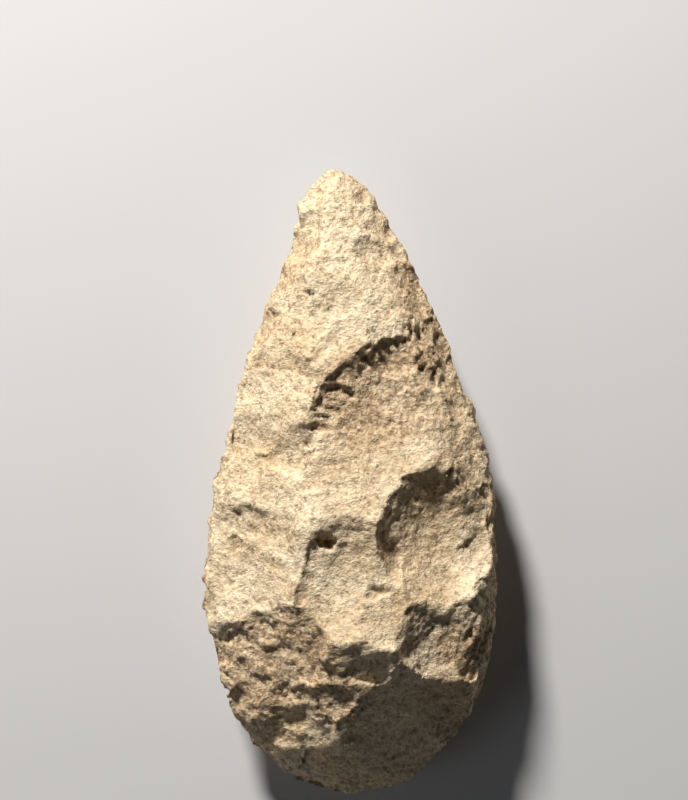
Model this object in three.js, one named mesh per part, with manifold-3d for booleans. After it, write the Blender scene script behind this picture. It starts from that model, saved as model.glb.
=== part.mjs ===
// A stone hand axe: a pear-shaped, two-faced core tool of pale coarse rock, lying on its back face.
// It is made as the real one was: a lens-shaped blank, from which flakes are struck off both faces.
// Frame: millimetres, +Z up, +Y towards the tip. The origin is on the surface that the axe lies on,
// under the middle of its length and breadth.
import * as THREE from "three";
import { mergeVertices } from "three/addons/utils/BufferGeometryUtils.js";
import Module from "manifold-3d";

const wasm = await Module();
wasm.setup();

// Driving dimensions
const LENGTH = 200;
const FRONT_HEIGHT = 29; // from the level of the cutting edge up to the top of the blank
const BACK_DEPTH = 26; // from the level of the cutting edge down to the blank's belly
const BELLY_CUT = 3; // what the flat resting spot takes off the belly
const EDGE_LEVEL = BACK_DEPTH - BELLY_CUT; // the cutting edge's height above the resting surface
const THICKEST_AT = 62; // from the butt
const BUTT_DROP = 11; // how far the edge dips towards the back round the butt
const BUTT_DROP_OVER = 50; // the length from the butt over which it dips
const EDGE_WAVE = 1.2; // how far the edge winds up and down along the sides
const EDGE_WAVE_SPAN = 11; // the length of the side for each radian of that winding

// The outline seen from the front, going up from the butt.
// Each row: how far from the butt, how far out to the left, how far out to the right.
const HALF_BREADTHS = [
  [3, 13, 16.5],
  [12, 26, 27],
  [27, 37.3, 38.6],
  [45, 41.6, 44.3],
  [65, 46.4, 46.8],
  [88, 43.8, 46.2],
  [103, 42, 45.3],
  [119, 37, 41],
  [134, 34, 34.9],
  [152, 27.6, 28.4],
  [167, 21.8, 20.8],
  [180, 17, 13.8],
  [191, 14.4, 7.8],
];
const TIP = [-4, LENGTH];
const BUTT = [1, 0];

const OUTLINE_STEPS = 85;
const DOME_STEPS = 9;

// How the blank rises from its edge in each direction from its thickest place. The height at a share s of
// the way out to the edge is (1 - s^spread)^fullness of the whole height.
const TO_TIP = { spread: 1.35, fullness: 0.6 };
const TO_LEFT = { spread: 1.5, fullness: 0.9 };
const TO_RIGHT = { spread: 2.6, fullness: 0.65 };
const TO_BUTT = { spread: 1.6, fullness: 0.9 };

const outline = new THREE.SplineCurve(
  [
    BUTT,
    ...HALF_BREADTHS.map(([along, , right]) => [right, along]),
    TIP,
    ...HALF_BREADTHS.toReversed().map(([along, left]) => [-left, along]),
    BUTT,
  ].map(([x, y]) => new THREE.Vector2(x, y)),
).getSpacedPoints(OUTLINE_STEPS);

// The level of the cutting edge at a distance from the butt.
function edgeLevel(along, side) {
  const dip = Math.max(0, 1 - along / BUTT_DROP_OVER);
  const wave = side * EDGE_WAVE * Math.sin(along / EDGE_WAVE_SPAN);
  return EDGE_LEVEL - BUTT_DROP * dip * dip + wave;
}

// The blank's dome at a share s of the way out in a direction, as a share of its whole height.
function dome(s, east, north) {
  const shares = [
    [TO_TIP, Math.max(0, north) ** 2],
    [TO_BUTT, Math.max(0, -north) ** 2],
    [TO_RIGHT, Math.max(0, east) ** 2],
    [TO_LEFT, Math.max(0, -east) ** 2],
  ];
  const blend = (key) => shares.reduce((sum, [shape, share]) => sum + shape[key] * share, 0);
  return (1 - s ** blend("spread")) ** blend("fullness");
}

// A closed mesh as a solid for cutting.
function solid(geometry) {
  const bare = new THREE.BufferGeometry();
  bare.setAttribute("position", geometry.getAttribute("position").clone());
  bare.setIndex(geometry.getIndex());
  const merged = mergeVertices(bare, 1e-3);
  return new wasm.Manifold(
    new wasm.Mesh({
      numProp: 3,
      vertProperties: merged.attributes.position.array,
      triVerts: new Uint32Array(merged.index.array),
    }),
  );
}

// The blank: a ball whose equator is drawn out to the outline and whose two domes are the faces.
function blank() {
  const ball = new THREE.SphereGeometry(1, OUTLINE_STEPS, 2 * DOME_STEPS);
  ball.rotateX(Math.PI / 2);
  const places = ball.getAttribute("position");
  const middle = new THREE.Vector2(0, THICKEST_AT);
  const columns = OUTLINE_STEPS + 1;
  for (let i = 0; i < places.count; i++) {
    const column = i % columns;
    const row = Math.floor(i / columns);
    const s = Math.sin((Math.PI * row) / (2 * DOME_STEPS));
    const rim = outline[column % OUTLINE_STEPS];
    const way = rim.clone().sub(middle);
    const { x: east, y: north } = way.clone().normalize();
    const at = middle.clone().addScaledVector(way, s);
    const front = row < DOME_STEPS;
    const height = dome(s, east, north) * (front ? FRONT_HEIGHT : -BACK_DEPTH);
    const bend = (edgeLevel(rim.y, Math.sign(rim.x)) - EDGE_LEVEL) * s * s;
    places.setXYZ(i, at.x, at.y, EDGE_LEVEL + bend + height);
  }
  return solid(ball);
}

// Flakes struck off the two faces. Each leaves a dished scar with a steep lip where it bites deepest.
// at: the scar's middle, [from the axis, from the butt], seen from its own face. level: its floor there,
// out from the cutting edge. size: half its breadth and half its length. turn: degrees, anticlockwise.
// rise: the floor's slope there, to the right and towards the tip. dish: how much it curves up to its rim.
const FRONT_FLAKES = [
  { name: "tip", at: [-2, 178], level: 10.2, size: [17, 24], rise: [-0.05, -0.24], dish: 2 },
  { name: "upper face", at: [-4, 150], level: 15.6, size: [19, 27], rise: [0.05, -0.17], dish: 2 },
  { name: "left side", at: [-22, 142], level: 9, size: [15, 40], turn: -17, rise: [0.72, -0.08], dish: 1.5 },
  { name: "right side", at: [24, 156], level: 6.5, size: [9, 21], turn: 25, rise: [-0.6, -0.05], dish: 1.5 },
  { name: "left hollow", at: [-26, 105], level: 11.3, size: [19, 21], rise: [0.45, 0.02], dish: 4 },
  { name: "middle panel", at: [4, 97], level: 20.8, size: [24, 15], rise: [-0.03, -0.3], dish: 1 },
  { name: "step", at: [22.5, 116.5], level: 15.2, size: [30, 44.5], turn: -45, rise: [0.1, -0.24], dish: 9 },
  { name: "left flank", at: [-31, 76], level: 8.6, size: [20, 24], turn: -8, rise: [0.58, 0.03], dish: 4.5 },
  { name: "great hollow", at: [33, 83.5], level: 9, size: [22, 27.5], turn: 4, rise: [0, 0], dish: 11.5 },
  { name: "great hollow, right", at: [41, 89], level: 8, size: [11, 14], rise: [-0.1, 0.25], dish: 4 },
  { name: "pitted", at: [-2, 70], level: 19, size: [16.5, 21], turn: -18, rise: [0.04, -0.04], dish: 4.6 },
  { name: "right of the pits", at: [12, 63], level: 20.4, size: [9, 14], rise: [0, -0.08], dish: 1 },
  { name: "notch", at: [33, 52], level: 11.2, size: [14.5, 13], turn: 20, rise: [-0.25, 0.2], dish: 2 },
  { name: "notch, left side", at: [22, 53], level: 16.3, size: [7.5, 10.5], rise: [-0.6, 0.1], dish: 1 },
  { name: "low shoulder", at: [0, 40], level: 18.2, size: [22, 16], rise: [0, 0.4], dish: 1.5 },
  { name: "lower left", at: [-30, 48], level: 8.6, size: [20, 17], turn: 20, rise: [0.34, 0.36], dish: 1.2 },
  { name: "left butt", at: [-20, 22], level: 3.2, size: [16, 18], turn: -10, rise: [0.34, 0.6], dish: 1.5 },
  { name: "butt", at: [14, 16], level: 1.2, size: [36, 30], rise: [-0.3, 0.62], dish: 1 },
];
const BACK_FLAKES = [
  { name: "upper face", at: [2, 163], level: 9.5, size: [19, 46], turn: -4, rise: [0, -0.17], dish: 4 },
  { name: "upper left", at: [-25, 128], level: 9, size: [17, 32], turn: -20, rise: [0.6, 0], dish: 5 },
  { name: "upper right", at: [23, 137], level: 7.4, size: [14, 32], turn: 18, rise: [-0.6, 0], dish: 4 },
  { name: "left flank", at: [-34, 92], level: 9.5, size: [17, 20], rise: [0.6, -0.05], dish: 4 },
  { name: "right flank", at: [33, 98], level: 7, size: [16, 22], turn: 10, rise: [-0.6, 0], dish: 4.5 },
  { name: "right belly", at: [36, 70], level: 4.5, size: [17, 18], rise: [-0.65, 0.05], dish: 4.5 },
  { name: "lower left", at: [-34, 58], level: 10, size: [16, 18], rise: [0.6, 0.15], dish: 3.5 },
  { name: "lower right", at: [31, 44], level: 7, size: [16, 15], turn: -25, rise: [-0.5, 0.2], dish: 3.5 },
  { name: "left butt", at: [-21, 25], level: 10.5, size: [17, 17], turn: 30, rise: [0.35, 0.25], dish: 3 },
  { name: "right butt", at: [11, 20], level: 11.3, size: [20, 15], rise: [-0.2, 0.22], dish: 3 },
];

// Small flakes struck off along the cutting edge, now from one face and now from the other.
const EDGE_FLAKES = 40;
const EDGE_FLAKE_SIZE = [3, 6]; // half its length along the edge, from and to
const EDGE_FLAKE_REACH = 0.6; // how far in it reaches, as a share of that
const EDGE_FLAKE_DISH = 2;
const EDGE_FLAKE_SLOPE = 1.3;
const EDGE_FLAKE_LEVEL = 0.8; // the middle height of their floors, out from the cutting edge

const FLAKE_MESH = { sides: 24, rings: 4 };
const EDGE_FLAKE_MESH = { sides: 8, rings: 2 };
const FLOOR_CURVE = 2.2; // 1 is a cone, 2 a bowl, more a flat floor that turns up at its rim
const LIP_HEIGHT = 30;
const LIP_SLOPE = 1.6;

// How far a scar's rim strays from an ellipse, as a share of its size.
function straying(angle, number) {
  const wave = (lobes, depth) => depth * Math.sin(lobes * angle + 1.7 * number * lobes);
  return 1 + wave(2, 0.03) + wave(3, 0.05) + wave(5, 0.035) + wave(8, 0.02);
}

// The space that a flake and the stone over it leave: a dished floor inside a rising lip.
// side: 1 on the front face, -1 on the back face.
function scoop({ at, level, size, turn = 0, rise, dish }, number, side, mesh) {
  const floor = Array.from({ length: mesh.rings + 1 }, (_, ring) => ring / mesh.rings);
  const spread = 1 + LIP_HEIGHT / LIP_SLOPE / Math.min(...size);
  const profile = [...floor.map((r) => [r, r ** FLOOR_CURVE]), [spread, 2], [0, 2]];
  const section = profile.map(([r, h]) => new THREE.Vector2(r, h));
  const bowl = new THREE.LatheGeometry(section, mesh.sides);
  const slope = new THREE.Vector2(...rise);
  const places = bowl.getAttribute("position");
  for (let i = 0; i < places.count; i++) {
    const share = places.getY(i);
    const stray = straying(Math.atan2(places.getZ(i), places.getX(i)), number);
    const way = new THREE.Vector2(places.getX(i) * size[0], -places.getZ(i) * size[1]);
    way.multiplyScalar(stray).rotateAround(new THREE.Vector2(), THREE.MathUtils.degToRad(turn));
    const height = share > 1 ? dish + LIP_HEIGHT : dish * share;
    places.setXYZ(i, at[0] + way.x, at[1] + way.y, level + height + way.dot(slope));
  }
  if (side < 0) bowl.rotateY(Math.PI);
  bowl.translate(0, 0, EDGE_LEVEL);
  return solid(bowl);
}

// The flakes along the edge, each at its place on the outline and leaning outwards.
function edgeFlake(number) {
  const side = number % 2 ? 1 : -1;
  const share = (number + 0.5 + 0.3 * Math.sin(7.3 * number)) / EDGE_FLAKES;
  const place = outline[Math.round(share * OUTLINE_STEPS) % OUTLINE_STEPS];
  const out = place.clone().sub(new THREE.Vector2(0, THICKEST_AT)).multiply({ x: 1, y: 0.4 }).normalize();
  const length = THREE.MathUtils.lerp(...EDGE_FLAKE_SIZE, 0.5 + 0.5 * Math.sin(3.1 * number));
  const edge = side * (edgeLevel(place.y, Math.sign(place.x)) - EDGE_LEVEL);
  const level = edge + EDGE_FLAKE_LEVEL * (1 + Math.sin(5.7 * number));
  return scoop(
    {
      at: [side * place.x, place.y],
      level,
      size: [EDGE_FLAKE_REACH * length, length],
      turn: THREE.MathUtils.radToDeg(Math.atan2(out.y, side * out.x)),
      rise: [-EDGE_FLAKE_SLOPE * side * out.x, -EDGE_FLAKE_SLOPE * out.y],
      dish: EDGE_FLAKE_DISH,
    },
    number,
    side,
    EDGE_FLAKE_MESH,
  );
}

const ground = new THREE.BoxGeometry(LENGTH, 2 * LENGTH, LENGTH).translate(0, LENGTH / 2, -LENGTH / 2);
const tools = [
  ...FRONT_FLAKES.map((flake, number) => scoop(flake, number, 1, FLAKE_MESH)),
  ...BACK_FLAKES.map((flake, number) => scoop(flake, number, -1, FLAKE_MESH)),
  ...Array.from({ length: EDGE_FLAKES }, (_, number) => edgeFlake(number)),
  solid(ground),
];
const stone = tools.reduce((left, tool) => left.subtract(tool), blank());

const { vertProperties, triVerts } = stone.getMesh();
const surface = new THREE.BufferGeometry();
surface.setAttribute("position", new THREE.BufferAttribute(vertProperties, 3));
surface.setIndex(new THREE.BufferAttribute(triVerts, 1));
surface.computeBoundingBox();
const { min, max } = surface.boundingBox;
surface.translate(-(min.x + max.x) / 2, -(min.y + max.y) / 2, 0);

const paleStone = new THREE.MeshStandardMaterial({ name: "stone", color: 0xd2b48c, roughness: 0.9 });
const axe = new THREE.Mesh(surface, paleStone);
axe.name = "hand_axe";

const part = new THREE.Group();
part.name = "stone_hand_axe";
part.add(axe);

export default part;
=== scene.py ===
# %% [markdown]
# # A stone hand axe
# A hand axe is one piece of stone, shaped on both faces by striking flakes off it. Each flake leaves a
# dished scar, and two scars meet in a sharp ridge. This one is of a coarse, pale, granular rock. Its tip
# is thin, its butt is thick and rounded, and it lies on its back face.
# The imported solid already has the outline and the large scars. This lesson makes a dense copy of it and
# works the finer surface into that copy: small scars, crushed edges, steps, pits and grain.

# %% Load the solid that fixes the axe's place and size
import math

import bmesh
import bpy
import numpy as np
from mathutils import Matrix, Vector, kdtree, noise


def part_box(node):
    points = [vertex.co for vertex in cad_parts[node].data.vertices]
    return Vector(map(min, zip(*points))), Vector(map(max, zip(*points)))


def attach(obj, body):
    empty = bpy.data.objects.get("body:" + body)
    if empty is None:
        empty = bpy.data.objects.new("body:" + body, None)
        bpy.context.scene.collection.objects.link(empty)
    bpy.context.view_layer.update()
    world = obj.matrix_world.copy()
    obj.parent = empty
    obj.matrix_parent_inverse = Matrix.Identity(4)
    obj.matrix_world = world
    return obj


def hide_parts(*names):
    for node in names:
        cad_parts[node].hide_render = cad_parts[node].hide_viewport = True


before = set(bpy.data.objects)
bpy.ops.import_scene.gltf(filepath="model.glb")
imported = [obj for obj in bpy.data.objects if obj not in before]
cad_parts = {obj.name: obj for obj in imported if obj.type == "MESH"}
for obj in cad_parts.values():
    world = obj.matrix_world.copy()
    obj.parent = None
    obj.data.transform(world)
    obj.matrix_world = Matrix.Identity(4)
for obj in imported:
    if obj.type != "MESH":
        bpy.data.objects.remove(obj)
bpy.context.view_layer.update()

MM = 0.001
SOLID = "hand_axe"

low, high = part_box(SOLID)
print("the axe is", [round((b - a) / MM, 1) for a, b in zip(low, high)], "mm")

# %% [markdown]
# ## A mesh fine enough to carve
# The solid is made of long thin triangles, which can't be carved: moving one corner would drag a whole
# face. Sculptors remesh first. A voxel remesh wraps the shape in an even net of small squares, and also
# rounds every ridge a little, as handling and weather do. The copy's loose triangles are merged
# beforehand, so that the net starts from one closed skin.

# %% Copy the solid and wrap it in an even net
NET = 0.71 * MM  # the size of a square of the net


def merged_copy(node, name):
    """A new object with the solid's shape, its corners joined."""
    work = bmesh.new()
    work.from_mesh(node.data)
    bmesh.ops.remove_doubles(work, verts=work.verts, dist=0.001 * MM)
    mesh = bpy.data.meshes.new(name)
    work.to_mesh(mesh)
    work.free()
    obj = bpy.data.objects.new(name, mesh)
    bpy.context.collection.objects.link(obj)
    return obj


def apply_modifiers(obj):
    """Makes what the modifiers show the object's own mesh."""
    shown = obj.evaluated_get(bpy.context.evaluated_depsgraph_get())
    shaped = bpy.data.meshes.new_from_object(shown)
    obj.modifiers.clear()
    obj.data = shaped


def drop_crumbs(obj):
    """Keeps only the largest connected piece, because a net can close round a thin sliver beside it."""
    work = bmesh.new()
    work.from_mesh(obj.data)
    unseen = set(work.verts)
    pieces = []
    while unseen:
        piece = [unseen.pop()]
        for vert in piece:
            linked = {edge.other_vert(vert) for edge in vert.link_edges} & unseen
            unseen -= linked
            piece.extend(linked)
        pieces.append(piece)
    crumbs = sorted(pieces, key=len)[:-1]
    bmesh.ops.delete(work, geom=[vert for piece in crumbs for vert in piece], context="VERTS")
    work.to_mesh(obj.data)
    work.free()
    print("dropped", len(crumbs), "crumbs")


axe = merged_copy(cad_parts[SOLID], "axe")
net = axe.modifiers.new("net", "REMESH")
net.mode = "VOXEL"
net.voxel_size = NET
apply_modifiers(axe)
drop_crumbs(axe)
print("the net has", len(axe.data.vertices), "corners and", len(axe.data.polygons), "squares")

# %% [markdown]
# ## Carving by moving points
# From here on the net's points are held as one table of numbers, in millimetres, measured like the axe
# itself: x from its axis, y from its butt, z from the table it lies on. Each carving step moves points
# a little: scars and cracks straight down, the roughness along the surface normal, and the wander of the
# ridges sideways. Noise gives an even but never repeating roughness.

# %% Helpers for carving


def read_points(obj):
    table = np.empty(len(obj.data.vertices) * 3)
    obj.data.vertices.foreach_get("co", table)
    return (table.reshape(-1, 3) - (0, low[1], 0)) / MM


def write_points(obj, points):
    obj.data.vertices.foreach_set("co", (points * MM + (0, low[1], 0)).ravel())
    obj.data.update()


def read_normals(obj):
    table = np.empty(len(obj.data.vertices) * 3)
    obj.data.vertices.foreach_get("normal", table)
    return table.reshape(-1, 3)


def roughness(points, size, octaves=3, seed=0, harshness=0.5):
    """Noise from about -1 to 1 whose lumps are about size mm across. Each octave is half as large as the
    one before, and harshness times as high."""
    places = points / size + 17.3 * seed
    fall = -math.log2(harshness)
    return np.array([noise.fractal(Vector(p), fall, 2.0, octaves) for p in places])


def smooth_step(x):
    x = np.clip(x, 0, 1)
    return x * x * (3 - 2 * x)


# %% [markdown]
# ## Worn faces
# Some faces of the real axe run into each other with no ridge between them, because they are older or
# more worn than the rest. A Smooth modifier pulls each point towards its neighbours, and a vertex group
# says how much at each place, so only those faces soften.

# %% Soften the worn faces
# [x, y, half breadth, half length, how worn] of each worn patch of the front
WORN_PATCHES = [
    (-28, 98, 15, 24, 0.4), (-23, 150, 10, 34, 0.4), (-1, 173, 13, 26, 0.4), (30, 120, 12, 24, 0.4),
    (8, 108, 16, 8, 0.4), (27, 152, 8, 16, 0.4), (-13, 178, 6, 9, 0.5), (-9, 110, 10, 10, 1),
    (-7, 86, 9, 8, 1), (11, 75, 5, 6, 0.7), (26, 54, 11, 10, 1), (-15, 59, 5, 5, 0.6),
]
WORN_ROUNDS = 120
FRONT_FACING = 0.05  # the front is where the normal points up at least this much
PATCH_FADE = 2.5  # how quickly a patch comes in from its rim


def patch_mask(points, x, y, half_x, half_y):
    """1 in the middle of a patch, fading to 0 at its rim."""
    away = np.hypot((points[:, 0] - x) / half_x, (points[:, 1] - y) / half_y)
    return smooth_step((1 - away) * PATCH_FADE)


points = read_points(axe)
front = read_normals(axe)[:, 2] > FRONT_FACING
worn = np.max([share * patch_mask(points, *patch) for *patch, share in WORN_PATCHES], axis=0) * front
group = axe.vertex_groups.new(name="worn")
for index in np.flatnonzero(worn > 0.01):
    group.add([int(index)], float(worn[index]), "REPLACE")
soften = axe.modifiers.new("soften", "SMOOTH")
soften.factor = 0.5
soften.iterations = WORN_ROUNDS
soften.vertex_group = "worn"
apply_modifiers(axe)
print("softened", int((worn > 0.2).sum()), "points")

# %% [markdown]
# ## Small scars
# Every large scar of a struck stone is crossed by smaller ones: chips from trimming the edge, and places
# where a flake snapped off short and left a step. One function strikes them all. It lays a dished floor
# a little below the surface and lowers every point that stands above it, which leaves a crisp rim where
# the floor is deep, and none where it comes out to the surface.

# %% A function that strikes one small scar
STEEPEST = 0.9  # a floor leans no more than this, even on a steeper face
DEEPEST = 2.0  # nothing is lowered by more than this many times a scar's depth
FEWEST = 6  # a scar that would catch fewer points is left out
LOOK_ROUND = 1.3  # points are looked for up to this many times a scar's size away
STRUCK_FACING = 0.2  # and only where the surface faces the side that is struck
RIM_STRAY = (0.12, 0.08)  # how far the rim wanders in and out, three times and five times round
DISHED = 0.8  # the share of its depth that a floor has lost at its rim


def strike(points, normals, at, size, turn=0.0, depth=0.6, steep=(0, 0), side=1, worn_rim=0.0):
    """Lowers points to a dished floor. at: x, y. size: half breadth and half length. turn: degrees.
    steep: how the floor leans against the surface, towards +x and +y. side: 1 front, -1 back.
    worn_rim: the outer share of the scar over which its rim is rubbed down."""
    near = np.flatnonzero(
        (np.abs(points[:, 0] - at[0]) < LOOK_ROUND * max(size))
        & (np.abs(points[:, 1] - at[1]) < LOOK_ROUND * max(size))
        & (side * normals[:, 2] > STRUCK_FACING)
    )
    away = points[near, :2] - at
    cos, sin = math.cos(math.radians(turn)), math.sin(math.radians(turn))
    u = (away[:, 0] * cos + away[:, 1] * sin) / size[0]
    v = (away[:, 1] * cos - away[:, 0] * sin) / size[1]
    angle = np.arctan2(v, u)
    rim = 1 + RIM_STRAY[0] * np.sin(3 * angle + at[0]) + RIM_STRAY[1] * np.sin(5 * angle + at[1])
    reach = np.hypot(u, v) / rim
    inside = reach < 1
    near, away, reach = near[inside], away[inside], reach[inside]
    if len(near) < FEWEST:
        return
    nx, ny, nz = normals[near].mean(axis=0)
    lean = np.array([-nx / nz, -ny / nz])
    lean /= max(1, np.hypot(*lean) / STEEPEST)
    level = (points[near, 2] - away @ lean).mean()
    floor = level + away @ (lean + side * np.array(steep)) - side * depth * (1 - DISHED * reach**2)
    drop = np.clip(side * (points[near, 2] - floor), 0, DEEPEST * depth)
    if worn_rim:
        drop *= smooth_step((1 - reach) / worn_rim)
    points[near, 2] -= side * drop


# %% [markdown]
# ## The scars that give this axe its face
# These are listed one by one, each where the real axe has it.

# %% Strike the scars of the front
FRONT_SCARS = [
    # the tip: a hinge across it and two dents
    dict(at=(6, 174.5), size=(8, 4.5), turn=-15, depth=1.0, steep=(0, 0.45)),
    dict(at=(-11, 190), size=(3, 4), depth=0.8),
    dict(at=(4, 190), size=(2.4, 2.6), depth=0.9),
    # the upper face: shallow facets that lean towards the butt
    dict(at=(-12, 154), size=(9, 8), depth=0.8, steep=(0, 0.12)),
    dict(at=(-16, 132), size=(10, 5), depth=0.6, steep=(0, -0.05)),
    dict(at=(-30, 118), size=(8, 9), turn=-15, depth=1.0, steep=(0, 0.24)),
    dict(at=(-19, 113), size=(11, 10), turn=-20, depth=1.6, steep=(0, 0.36), worn_rim=0.4),
    dict(at=(-2, 146), size=(8, 5), turn=30, depth=0.5),
    # the stepped scar's wall, undercut where it runs up to the right
    dict(at=(12, 138.5), size=(10, 6.5), turn=25, depth=2.0, steep=(0, -0.12)),
    dict(at=(-6, 123), size=(5, 8), turn=-35, depth=1.4, steep=(0.1, -0.05)),
    # the broken right edge above the stepped scar
    dict(at=(22, 159), size=(4.5, 8), turn=25, depth=1.6, steep=(0.1, 0)),
    dict(at=(27, 147), size=(3.5, 7), turn=25, depth=1.5),
    dict(at=(24.5, 134), size=(3.2, 4.5), turn=15, depth=2.2),
    dict(at=(17, 164), size=(4, 5), turn=30, depth=1.0),
    dict(at=(33, 128), size=(4, 7), turn=20, depth=1.0),
    # the left side
    dict(at=(-37, 88), size=(3.2, 2.6), depth=2.4, steep=(0, 0.3)),
    dict(at=(-36, 81), size=(3, 2.2), depth=1.8, steep=(0, 0.3)),
    dict(at=(-26, 89), size=(14, 8), turn=5, depth=1.3, steep=(0, 0.3), worn_rim=0.4),
    dict(at=(-36, 94), size=(7, 4), depth=0.7, steep=(0, 0.15)),
    dict(at=(-44, 62), size=(3, 5), depth=1.6),
    dict(at=(-39.5, 49), size=(4, 6), turn=-10, depth=1.6, steep=(0, 0.4)),
    # inside the great hollow
    dict(at=(24, 99), size=(8, 5), turn=-20, depth=0.6),
    dict(at=(40, 96), size=(5, 5), depth=0.9, steep=(0, 0.1)),
    # the pitted panel: the pit, the lobe's edge and the notch under it
    dict(at=(-7, 82.5), size=(2.9, 2.2), depth=4.5),
    dict(at=(13, 76), size=(3, 7), turn=8, depth=2.2, steep=(-0.2, 0)),
    dict(at=(8.5, 67), size=(4.2, 2), turn=20, depth=1.6, steep=(0, 0.1)),
    dict(at=(-12, 72), size=(4, 9), turn=-25, depth=0.7),
    # the bed under the left flank, and the broken ground beside it
    dict(at=(-33, 54), size=(12, 8), turn=18, depth=1.3, steep=(0, 0.4), worn_rim=0.6),
    dict(at=(-25, 59), size=(9, 6), turn=25, depth=1.2, steep=(0, 0.4), worn_rim=0.6),
    dict(at=(-9, 41), size=(7, 4), turn=-20, depth=1.8, steep=(0, -0.1)),
    dict(at=(-25, 48), size=(6, 4.5), turn=20, depth=0.6),
    dict(at=(-5, 32), size=(8, 6), turn=-10, depth=1.6, steep=(0.05, -0.3)),
    dict(at=(6, 45), size=(9, 6), depth=1.2, steep=(0, 0.2)),
    dict(at=(-18, 36), size=(9, 7), turn=-20, depth=1.6, steep=(0, 0.4), worn_rim=0.6),
    dict(at=(-19, 29), size=(12, 8), turn=-8, depth=1.4, steep=(0, 0.4), worn_rim=0.7),
    dict(at=(37, 43), size=(5, 4), turn=-30, depth=1.0, steep=(0, 0.2)),
    # the butt
    dict(at=(-11, 14), size=(3.5, 5), turn=-25, depth=1.6, steep=(0.2, 0.1)),
    dict(at=(-22, 20), size=(7, 4), depth=1.2, steep=(0, -0.2)),
    dict(at=(-34, 33), size=(3.5, 6), turn=-30, depth=1.2, steep=(0.1, 0)),
    dict(at=(12, 22), size=(12, 8), depth=1.0),
    dict(at=(28, 28), size=(8, 8), depth=1.0),
]

points = read_points(axe)
normals = read_normals(axe)
for scar in FRONT_SCARS:
    strike(points, normals, **scar)
write_points(axe, points)
print("struck", len(FRONT_SCARS), "scars on the front")

# %% [markdown]
# ## Trimming
# The rest are trimming chips, so many and so alike that they are thrown by chance. They crowd along the
# edge, where the maker trimmed it, and thin out towards the middle. Each snapped off short at its inner
# end, so its floor is deepest there. A k-d tree finds how far each point is from the outline.

# %% Throw the trimming chips
CHANCE = np.random.default_rng(12)
CHIPS = {1: 130, -1: 220}  # on the front, on the back
CROWDING = 9  # mm: this far in from the edge, chips are a third as crowded
CHIP_LENGTHS = (2.2, 6.5)
CHIP_BREADTHS = (0.7, 1.3)  # as a share of the length
CHIP_DEPTHS = (0.2, 0.6)
CHIP_STEEP = 0.12  # how much deeper the floor gets inwards
CHIP_TURN = 25  # degrees that a chip strays from pointing inwards
CHIP_FACING = 0.35
RIM_FACING = 0.15  # the outline is where the normal points up or down less than this
THICKEST = np.array([0, 85])


def outline_distance(points, normals):
    """Roughly how far each point is from the outline, where the surface stands upright."""
    rim = points[np.abs(normals[:, 2]) < RIM_FACING][:, :2]
    tree = kdtree.KDTree(len(rim))
    for index, (x, y) in enumerate(rim):
        tree.insert((x, y, 0), index)
    tree.balance()
    return np.array([tree.find((x, y, 0))[2] for x, y in points[:, :2]])


def throw_chips(points, normals, edge_distance, side, count):
    places = np.flatnonzero(side * normals[:, 2] > CHIP_FACING)
    crowd = np.exp(-edge_distance[places] / CROWDING)
    for place in CHANCE.choice(places, count, p=crowd / crowd.sum()):
        inward = THICKEST - points[place, :2]
        inward /= np.hypot(*inward) + 1e-6
        heading = math.degrees(math.atan2(inward[1], inward[0])) - 90 + CHANCE.normal(0, CHIP_TURN)
        long = CHIP_LENGTHS[0] + (CHIP_LENGTHS[1] - CHIP_LENGTHS[0]) * CHANCE.random() ** 2
        strike(
            points, normals, points[place, :2].copy(), (long * CHANCE.uniform(*CHIP_BREADTHS), long), heading,
            depth=CHANCE.uniform(*CHIP_DEPTHS), steep=-CHIP_STEEP * inward, side=side,
        )


points = read_points(axe)
normals = read_normals(axe)
edge_distance = outline_distance(points, normals)
for side, count in CHIPS.items():
    throw_chips(points, normals, edge_distance, side, count)
write_points(axe, points)
print("threw", sum(CHIPS.values()), "chips")

# %% [markdown]
# ## Nothing runs straight
# In a coarse rock no ridge is a clean curve: it wanders round the grains. Shifting the points sideways
# by slow noise makes every ridge and the whole outline wander at once. The thin edge is the most ragged.

# %% Let the ridges wander
WANDER = 0.7
WANDER_SIZE = 9
RAGGED = 0.9  # more, at the outline itself
RAGGED_SIZE = 5
RAGGED_REACH = 5  # how far in from the outline that goes
points = read_points(axe)
ragged = smooth_step(1 - edge_distance / RAGGED_REACH)
for axis in (0, 1):
    points[:, axis] += WANDER * roughness(points, WANDER_SIZE, 3, seed=4 + axis)
    points[:, axis] += RAGGED * ragged * roughness(points, RAGGED_SIZE, 3, seed=8 + axis)
write_points(axe, points)
print("the thin edge has", int((ragged > 0.5).sum()), "points")
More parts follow.
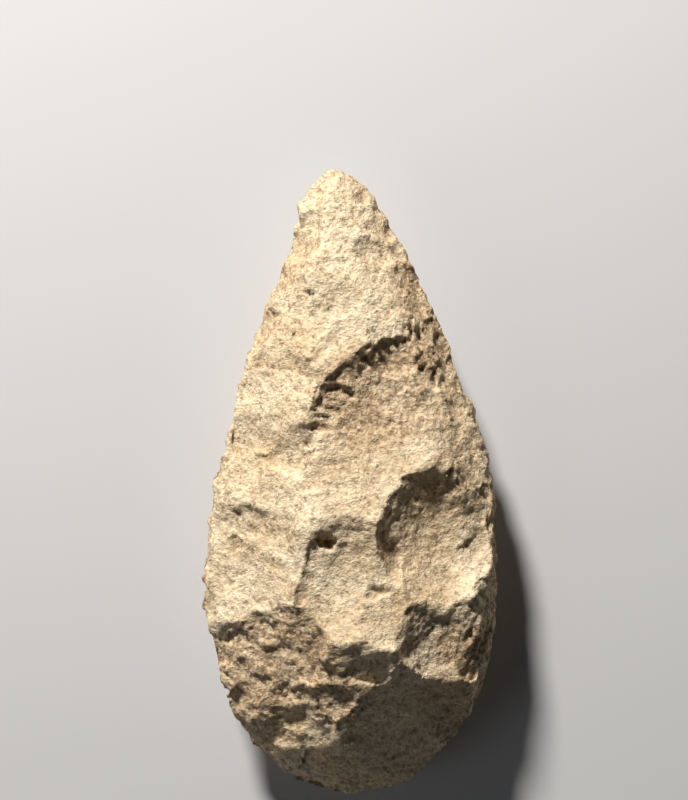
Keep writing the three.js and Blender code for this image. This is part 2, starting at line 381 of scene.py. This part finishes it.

# %% [markdown]
# ## The feel of the stone
# The rock broke round its grains, not through them, so the scars aren't glassy. Three kinds of lump are
# added: broad waves a centimetre across, a harsh roughness that runs down from knobs of 5 mm, and coarse
# grains of 2 mm. Some scars were torn rather than split, so their grains stand out further, and steep
# walls are rougher than the rest. The torn scars have taken up more of a brown stain. The steep walls get
# painted shade: a darker colour that stands in for the shade falling on them. How torn or steep each
# point is goes into an attribute of the mesh, which the material reads later.

# %% Roughen the whole skin
# [x, y, half breadth, half length] of each torn patch
TORN_PATCHES = [(7, 127, 24, 19), (-24, 45, 22, 20), (23, 150, 9, 24), (35, 50, 11, 9), (-4, 34, 12, 12)]
WAVE_HEIGHT, WAVE_SIZE = 0.4, 13
KNOB_HEIGHT, KNOB_SIZE = 0.48, 4.6
KNOB_MORE_STEEP = 0.12  # knobs stand out this much further on steep walls
COARSE_HEIGHT, COARSE_SIZE = 0.1, 2.0
COARSE_MORE_TORN = 0.3  # coarse grains stand out this much further where the stone was torn
STEEP_FROM = 0.8  # a wall begins where the normal points up less than this
STEEP_RANGE = 0.4  # and counts in full where it points up this much less
STEEP_WALL_SHADE_SHARE = 0.8  # a steep wall gets this share of a torn patch's darkening, here as painted shade
points = read_points(axe)
normals = read_normals(axe)
steepness = smooth_step((STEEP_FROM - np.abs(normals[:, 2])) / STEEP_RANGE)
torn = np.max([patch_mask(points, *patch) for patch in TORN_PATCHES], axis=0)
waves = WAVE_HEIGHT * roughness(points, WAVE_SIZE, 2, seed=1)
knobs = KNOB_HEIGHT + KNOB_MORE_STEEP * steepness
knobs = knobs * roughness(points, KNOB_SIZE, 4, seed=2, harshness=0.68)
grains = COARSE_HEIGHT + COARSE_MORE_TORN * torn
grains = grains * roughness(points, COARSE_SIZE, 2, seed=3, harshness=0.7)
points += normals * (waves + knobs + grains)[:, None]
write_points(axe, points)
# The attribute holds the brown stain of the torn patches and, on steep walls, painted shade
stain_and_wall_shade = axe.data.attributes.new("stain_and_wall_shade", "FLOAT", "POINT")
stain_and_wall_shade.data.foreach_set("value", np.maximum(torn, STEEP_WALL_SHADE_SHARE * steepness))
print("roughened by up to", round(float(np.abs(waves + knobs + grains).max()), 2), "mm")

# %% [markdown]
# ## Hackles
# A flake that snapped off short left a tall curved step across the middle of the front. Its wall carries
# hackles, fine ridges that run the way the crack ran, out from the middle of the scar. Noise drawn out
# along those rays makes them, and they die out on the floor below the wall.

# %% Comb hackles into the wall of the step
STEP_MIDDLE = (22.5, 116.5)
STEP_SIZE = (30, 44.5)
STEP_TURN = math.radians(-45)
HACKLE_DEPTH = 1.9
HACKLE_SPACING = 1.9
HACKLE_LENGTH = 14
HACKLE_ARC = math.radians(50)  # how far round the scar they go, to each side


def round_scar(points, middle, size, turn):
    """How far out in a scar each point is, 1 at its rim, and at what angle."""
    away = points[:, :2] - middle
    u = (away[:, 0] * math.cos(turn) + away[:, 1] * math.sin(turn)) / size[0]
    v = (away[:, 1] * math.cos(turn) - away[:, 0] * math.sin(turn)) / size[1]
    return np.hypot(u, v), np.arctan2(v, -u)


points = read_points(axe)
front = read_normals(axe)[:, 2] > FRONT_FACING
reach, angle = round_scar(points, STEP_MIDDLE, STEP_SIZE, STEP_TURN)
band = smooth_step((reach - 0.74) / 0.15) * smooth_step((1.04 - reach) / 0.06)
band *= smooth_step((HACKLE_ARC - np.abs(angle + 0.05)) / 0.25) * front
radius = sum(STEP_SIZE) / 2
combed = np.stack([angle * radius, reach * radius * HACKLE_SPACING / HACKLE_LENGTH, 0 * angle], axis=1)
points[:, 2] += HACKLE_DEPTH * band * roughness(combed, HACKLE_SPACING, 2, seed=7)
write_points(axe, points)
print("combed", int((band > 0.5).sum()), "points")

# %% [markdown]
# ## Cracks
# Three hairline cracks run in from the left side. Each is a groove pressed in along a line.

# %% Press in the cracks
CRACKS = [
    [(-22, 63), (-20, 57), (-18, 53.5)],
    [(-41, 41), (-37, 38), (-34, 34)],
    [(-30, 137), (-20, 136), (-12, 133.5)],
]
CRACK_DEPTH = 0.8
CRACK_HALF_WIDTH = 0.8
CRACK_FACING = 0.1  # only the upper side cracks


def distance_to_line(points, line):
    nearest = np.full(len(points), np.inf)
    for start, end in zip(np.array(line[:-1], float), np.array(line[1:], float)):
        run = end - start
        share = np.clip(((points[:, :2] - start) @ run) / (run @ run), 0, 1)
        nearest = np.minimum(nearest, np.hypot(*(points[:, :2] - start - share[:, None] * run).T))
    return nearest


points = read_points(axe)
front = read_normals(axe)[:, 2] > CRACK_FACING
for line in CRACKS:
    away = distance_to_line(points, line)
    points[:, 2] -= CRACK_DEPTH * np.clip(1 - away / CRACK_HALF_WIDTH, 0, 1) * front
write_points(axe, points)
print("pressed in", len(CRACKS), "cracks")

# %% [markdown]
# ## The flat that it lies on
# A loose stone rests on its fullest place. Points that the roughening pushed through the table are
# pressed back to it.

# %% Press the underside back to the table
points = read_points(axe)
points[:, 2] = np.maximum(points[:, 2], 0)
write_points(axe, points)
axe.data.polygons.foreach_set("use_smooth", [True] * len(axe.data.polygons))
print("the axe is carved:", len(axe.data.vertices), "corners")

# %% [markdown]
# ## The colour of the stone
# The rock is buff to cream in broad patches, with a mottle of a few millimetres and single grains lighter
# or darker than the rest, and it has dark soil specks, with more soil caught where the stone was torn.
# The hollows and the creases between the grains get painted shade, a darker colour, so the ridges look
# pale beside them, and the steep walls get painted shade too. It is quite matt. Every pattern is worked
# out from the place on the stone itself, and the stain and the steep walls' painted shade from the
# attribute that the roughening left.

# %% The stone material
CREAM = (0.88, 0.73, 0.51, 1)
BUFF = (0.68, 0.51, 0.31, 1)
STAIN_AND_WALL_SHADE = (0.52, 0.35, 0.19, 1)
# The soil colour also serves as painted shade in the hollows, between the grains and on steep walls
SOIL_AND_HOLLOW_SHADE = (0.26, 0.15, 0.08, 1)
DARK_GRAIN = (0.20, 0.12, 0.07, 1)
# How far across the spots of each pattern are, in mm
PATCH = 22
MOTTLE = 4.5
SPECK = 1.5
GRAIN = 0.95
CRUMB = 0.95


def put(tree, kind, column, row, **values):
    """A new node at a place in the node editor's grid."""
    made = tree.nodes.new(kind)
    made.location = (220 * column, -220 * row)
    for name, value in values.items():
        setattr(made, name, value)
    return made


def spotted(tree, place, size, column, row, detail=2.0):
    """Noise whose spots are about size mm across."""
    made = put(tree, "ShaderNodeTexNoise", column, row)
    made.inputs["Scale"].default_value = 1 / (size * MM)
    made.inputs["Detail"].default_value = detail
    made.inputs["Roughness"].default_value = 0.6
    tree.links.new(place, made.inputs["Vector"])
    return made.outputs["Fac"]


def ranged(tree, value, start, end, column, row, to_start=0.0, to_end=1.0):
    """Stretches a value from one range to another, and clamps it."""
    made = put(tree, "ShaderNodeMapRange", column, row)
    for name, number in (("From Min", start), ("From Max", end), ("To Min", to_start), ("To Max", to_end)):
        made.inputs[name].default_value = number
    tree.links.new(value, made.inputs["Value"])
    return made.outputs["Result"]


def mixed(tree, first, second, share, column, row):
    """Mixes two colours. Each is a socket or a plain colour."""
    made = put(tree, "ShaderNodeMix", column, row, data_type="RGBA")
    for value, socket in ((share, made.inputs[0]), (first, made.inputs[6]), (second, made.inputs[7])):
        if isinstance(value, bpy.types.NodeSocket):
            tree.links.new(value, socket)
        else:
            socket.default_value = value
    return made.outputs[2]


stone = bpy.data.materials.new("stone")
stone.use_nodes = True
tree = stone.node_tree
tree.nodes.clear()
out = put(tree, "ShaderNodeOutputMaterial", 8, 0)
skin = put(tree, "ShaderNodeBsdfPrincipled", 7, 0)
tree.links.new(skin.outputs["BSDF"], out.inputs["Surface"])
skin.inputs["Roughness"].default_value = 0.88
skin.inputs["Specular IOR Level"].default_value = 0.25

place = put(tree, "ShaderNodeTexCoord", 0, 0).outputs["Object"]
patches = spotted(tree, place, PATCH, 1, 0, detail=3)
mottle = spotted(tree, place, MOTTLE, 1, 1, detail=4)
colour = mixed(tree, BUFF, CREAM, ranged(tree, patches, 0.38, 0.6, 2, 0), 3, 0)
stain_and_wall_shade = put(tree, "ShaderNodeAttribute", 1, 7, attribute_name="stain_and_wall_shade").outputs["Fac"]
# Brown stain where the stone was torn, and painted shade, a darker colour, on steep walls
colour = mixed(tree, colour, STAIN_AND_WALL_SHADE, ranged(tree, stain_and_wall_shade, 0, 1, 2, 7, 0, 0.4), 3, 1)
colour = mixed(tree, colour, BUFF, ranged(tree, mottle, 0.52, 0.68, 2, 1, 0, 0.8), 4, 0)

cells = put(tree, "ShaderNodeTexVoronoi", 1, 2)
cells.inputs["Scale"].default_value = 1 / (GRAIN * MM)
tree.links.new(place, cells.inputs["Vector"])
lot = put(tree, "ShaderNodeSeparateColor", 2, 2)
tree.links.new(cells.outputs["Color"], lot.inputs["Color"])
colour = mixed(tree, colour, DARK_GRAIN, ranged(tree, lot.outputs["Red"], 0.80, 0.95, 3, 2, 0, 0.5), 5, 0)
colour = mixed(tree, colour, CREAM, ranged(tree, lot.outputs["Green"], 0.6, 0.95, 3, 3, 0, 0.6), 5, 1)

specks = spotted(tree, place, SPECK, 1, 5, detail=3)
colour = mixed(tree, colour, SOIL_AND_HOLLOW_SHADE, ranged(tree, specks, 0.52, 0.7, 2, 5, 0, 0.6), 6, 1)
# More soil specks where the stone was torn; through the steepness in the attribute they also darken steep
# walls as painted shade
soil_specks_and_wall_shade = put(tree, "ShaderNodeMath", 3, 7, operation="MULTIPLY")
tree.links.new(stain_and_wall_shade, soil_specks_and_wall_shade.inputs[0])
tree.links.new(ranged(tree, specks, 0.48, 0.58, 2, 8, 0, 0.6), soil_specks_and_wall_shade.inputs[1])
colour = mixed(tree, colour, SOIL_AND_HOLLOW_SHADE, soil_specks_and_wall_shade.outputs["Value"], 6, 2)
# Painted shade: the colour darkens towards the soil colour where the surface is hollow, in hollows and
# creases between grains, where shade falls
height = put(tree, "ShaderNodeNewGeometry", 1, 4).outputs["Pointiness"]
colour = mixed(tree, colour, SOIL_AND_HOLLOW_SHADE, ranged(tree, height, 0.5, 0.43, 2, 4, 0, 0.7), 6, 0)
tree.links.new(colour, skin.inputs["Base Color"])

crumb = spotted(tree, place, CRUMB, 1, 6, detail=4)
bump = put(tree, "ShaderNodeBump", 6, 6)
bump.inputs["Strength"].default_value = 0.8
bump.inputs["Distance"].default_value = 1.1 * MM
tree.links.new(crumb, bump.inputs["Height"])
tree.links.new(bump.outputs["Normal"], skin.inputs["Normal"])

axe.data.materials.clear()
axe.data.materials.append(stone)
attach(axe, "root")
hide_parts(SOLID)
print("the stone has", len(tree.nodes), "nodes")

# %% [markdown]
# ## Floor, light and camera
# The axe lies on plain pale paper. One fairly small round lamp comes in low from beyond the tip and to
# the left, so that it rakes across the scars and shows how deep each one is. A broad weak lamp, to the
# left of the butt, and a dim room keep the shaded butt from going black.

# %% Floor
FLOOR_HALF = 3.0
PAPER = (0.62, 0.62, 0.63, 1)
work = bmesh.new()
bmesh.ops.create_grid(work, x_segments=1, y_segments=1, size=FLOOR_HALF)
floor_mesh = bpy.data.meshes.new("floor")
work.to_mesh(floor_mesh)
work.free()
floor = bpy.data.objects.new("floor", floor_mesh)
bpy.context.collection.objects.link(floor)
paper = bpy.data.materials.new("pale_paper")
paper.use_nodes = True
paper_skin = paper.node_tree.nodes["Principled BSDF"]
paper_skin.inputs["Base Color"].default_value = PAPER
paper_skin.inputs["Roughness"].default_value = 0.95
floor_mesh.materials.append(paper)
print("the floor is", 2 * FLOOR_HALF, "m across")

# %% Light
KEY = dict(towards=(-0.29, 0.80, 0.53), distance=1.3, size=0.22, power=29.5, colour=(1.0, 0.97, 0.92))
FILL = dict(towards=(-0.75, -0.35, 0.56), distance=1.5, size=0.9, power=1.6, colour=(0.95, 0.97, 1.0))


def shine(name, towards, distance, size, power, colour):
    """A round lamp that points at the middle of the axe from a direction."""
    way = Vector(towards).normalized()
    lamp = bpy.data.lights.new(name, "AREA")
    lamp.shape = "DISK"
    lamp.size = size
    lamp.energy = power
    lamp.color = colour
    hung = bpy.data.objects.new(name, lamp)
    turned = way.to_track_quat("Z", "Y").to_matrix().to_4x4()
    hung.matrix_world = Matrix.Translation(Vector((0, 0, high[2] / 2)) + way * distance) @ turned
    bpy.context.collection.objects.link(hung)


shine("key", **KEY)
shine("fill", **FILL)
world = bpy.data.worlds.new("room")
world.use_nodes = True
air = world.node_tree.nodes["Background"]
air.inputs["Color"].default_value = (0.9, 0.95, 1.0, 1)
air.inputs["Strength"].default_value = 0.03
bpy.context.scene.world = world
bpy.context.scene.view_settings.view_transform = "Standard"

# %% [markdown]
# The camera hangs straight above the axe with a long lens, which keeps its outline true.

# %% Camera
SEEN_LENGTH = 253.4 * MM  # what the view takes in from top to bottom
LENS = 100
SENSOR = 36
AIM = Vector((-1.8 * MM, 26.4 * MM, 0.023))

eye = bpy.data.cameras.new("eye")
eye.sensor_fit = "VERTICAL"
eye.sensor_height = SENSOR
eye.lens = LENS
camera = bpy.data.objects.new("camera", eye)
camera.location = AIM + Vector((0, 0, SEEN_LENGTH * LENS / SENSOR))
bpy.context.collection.objects.link(camera)
bpy.context.scene.camera = camera
eye.clip_end = 10
print("the camera is", round(camera.location.z, 3), "m up")
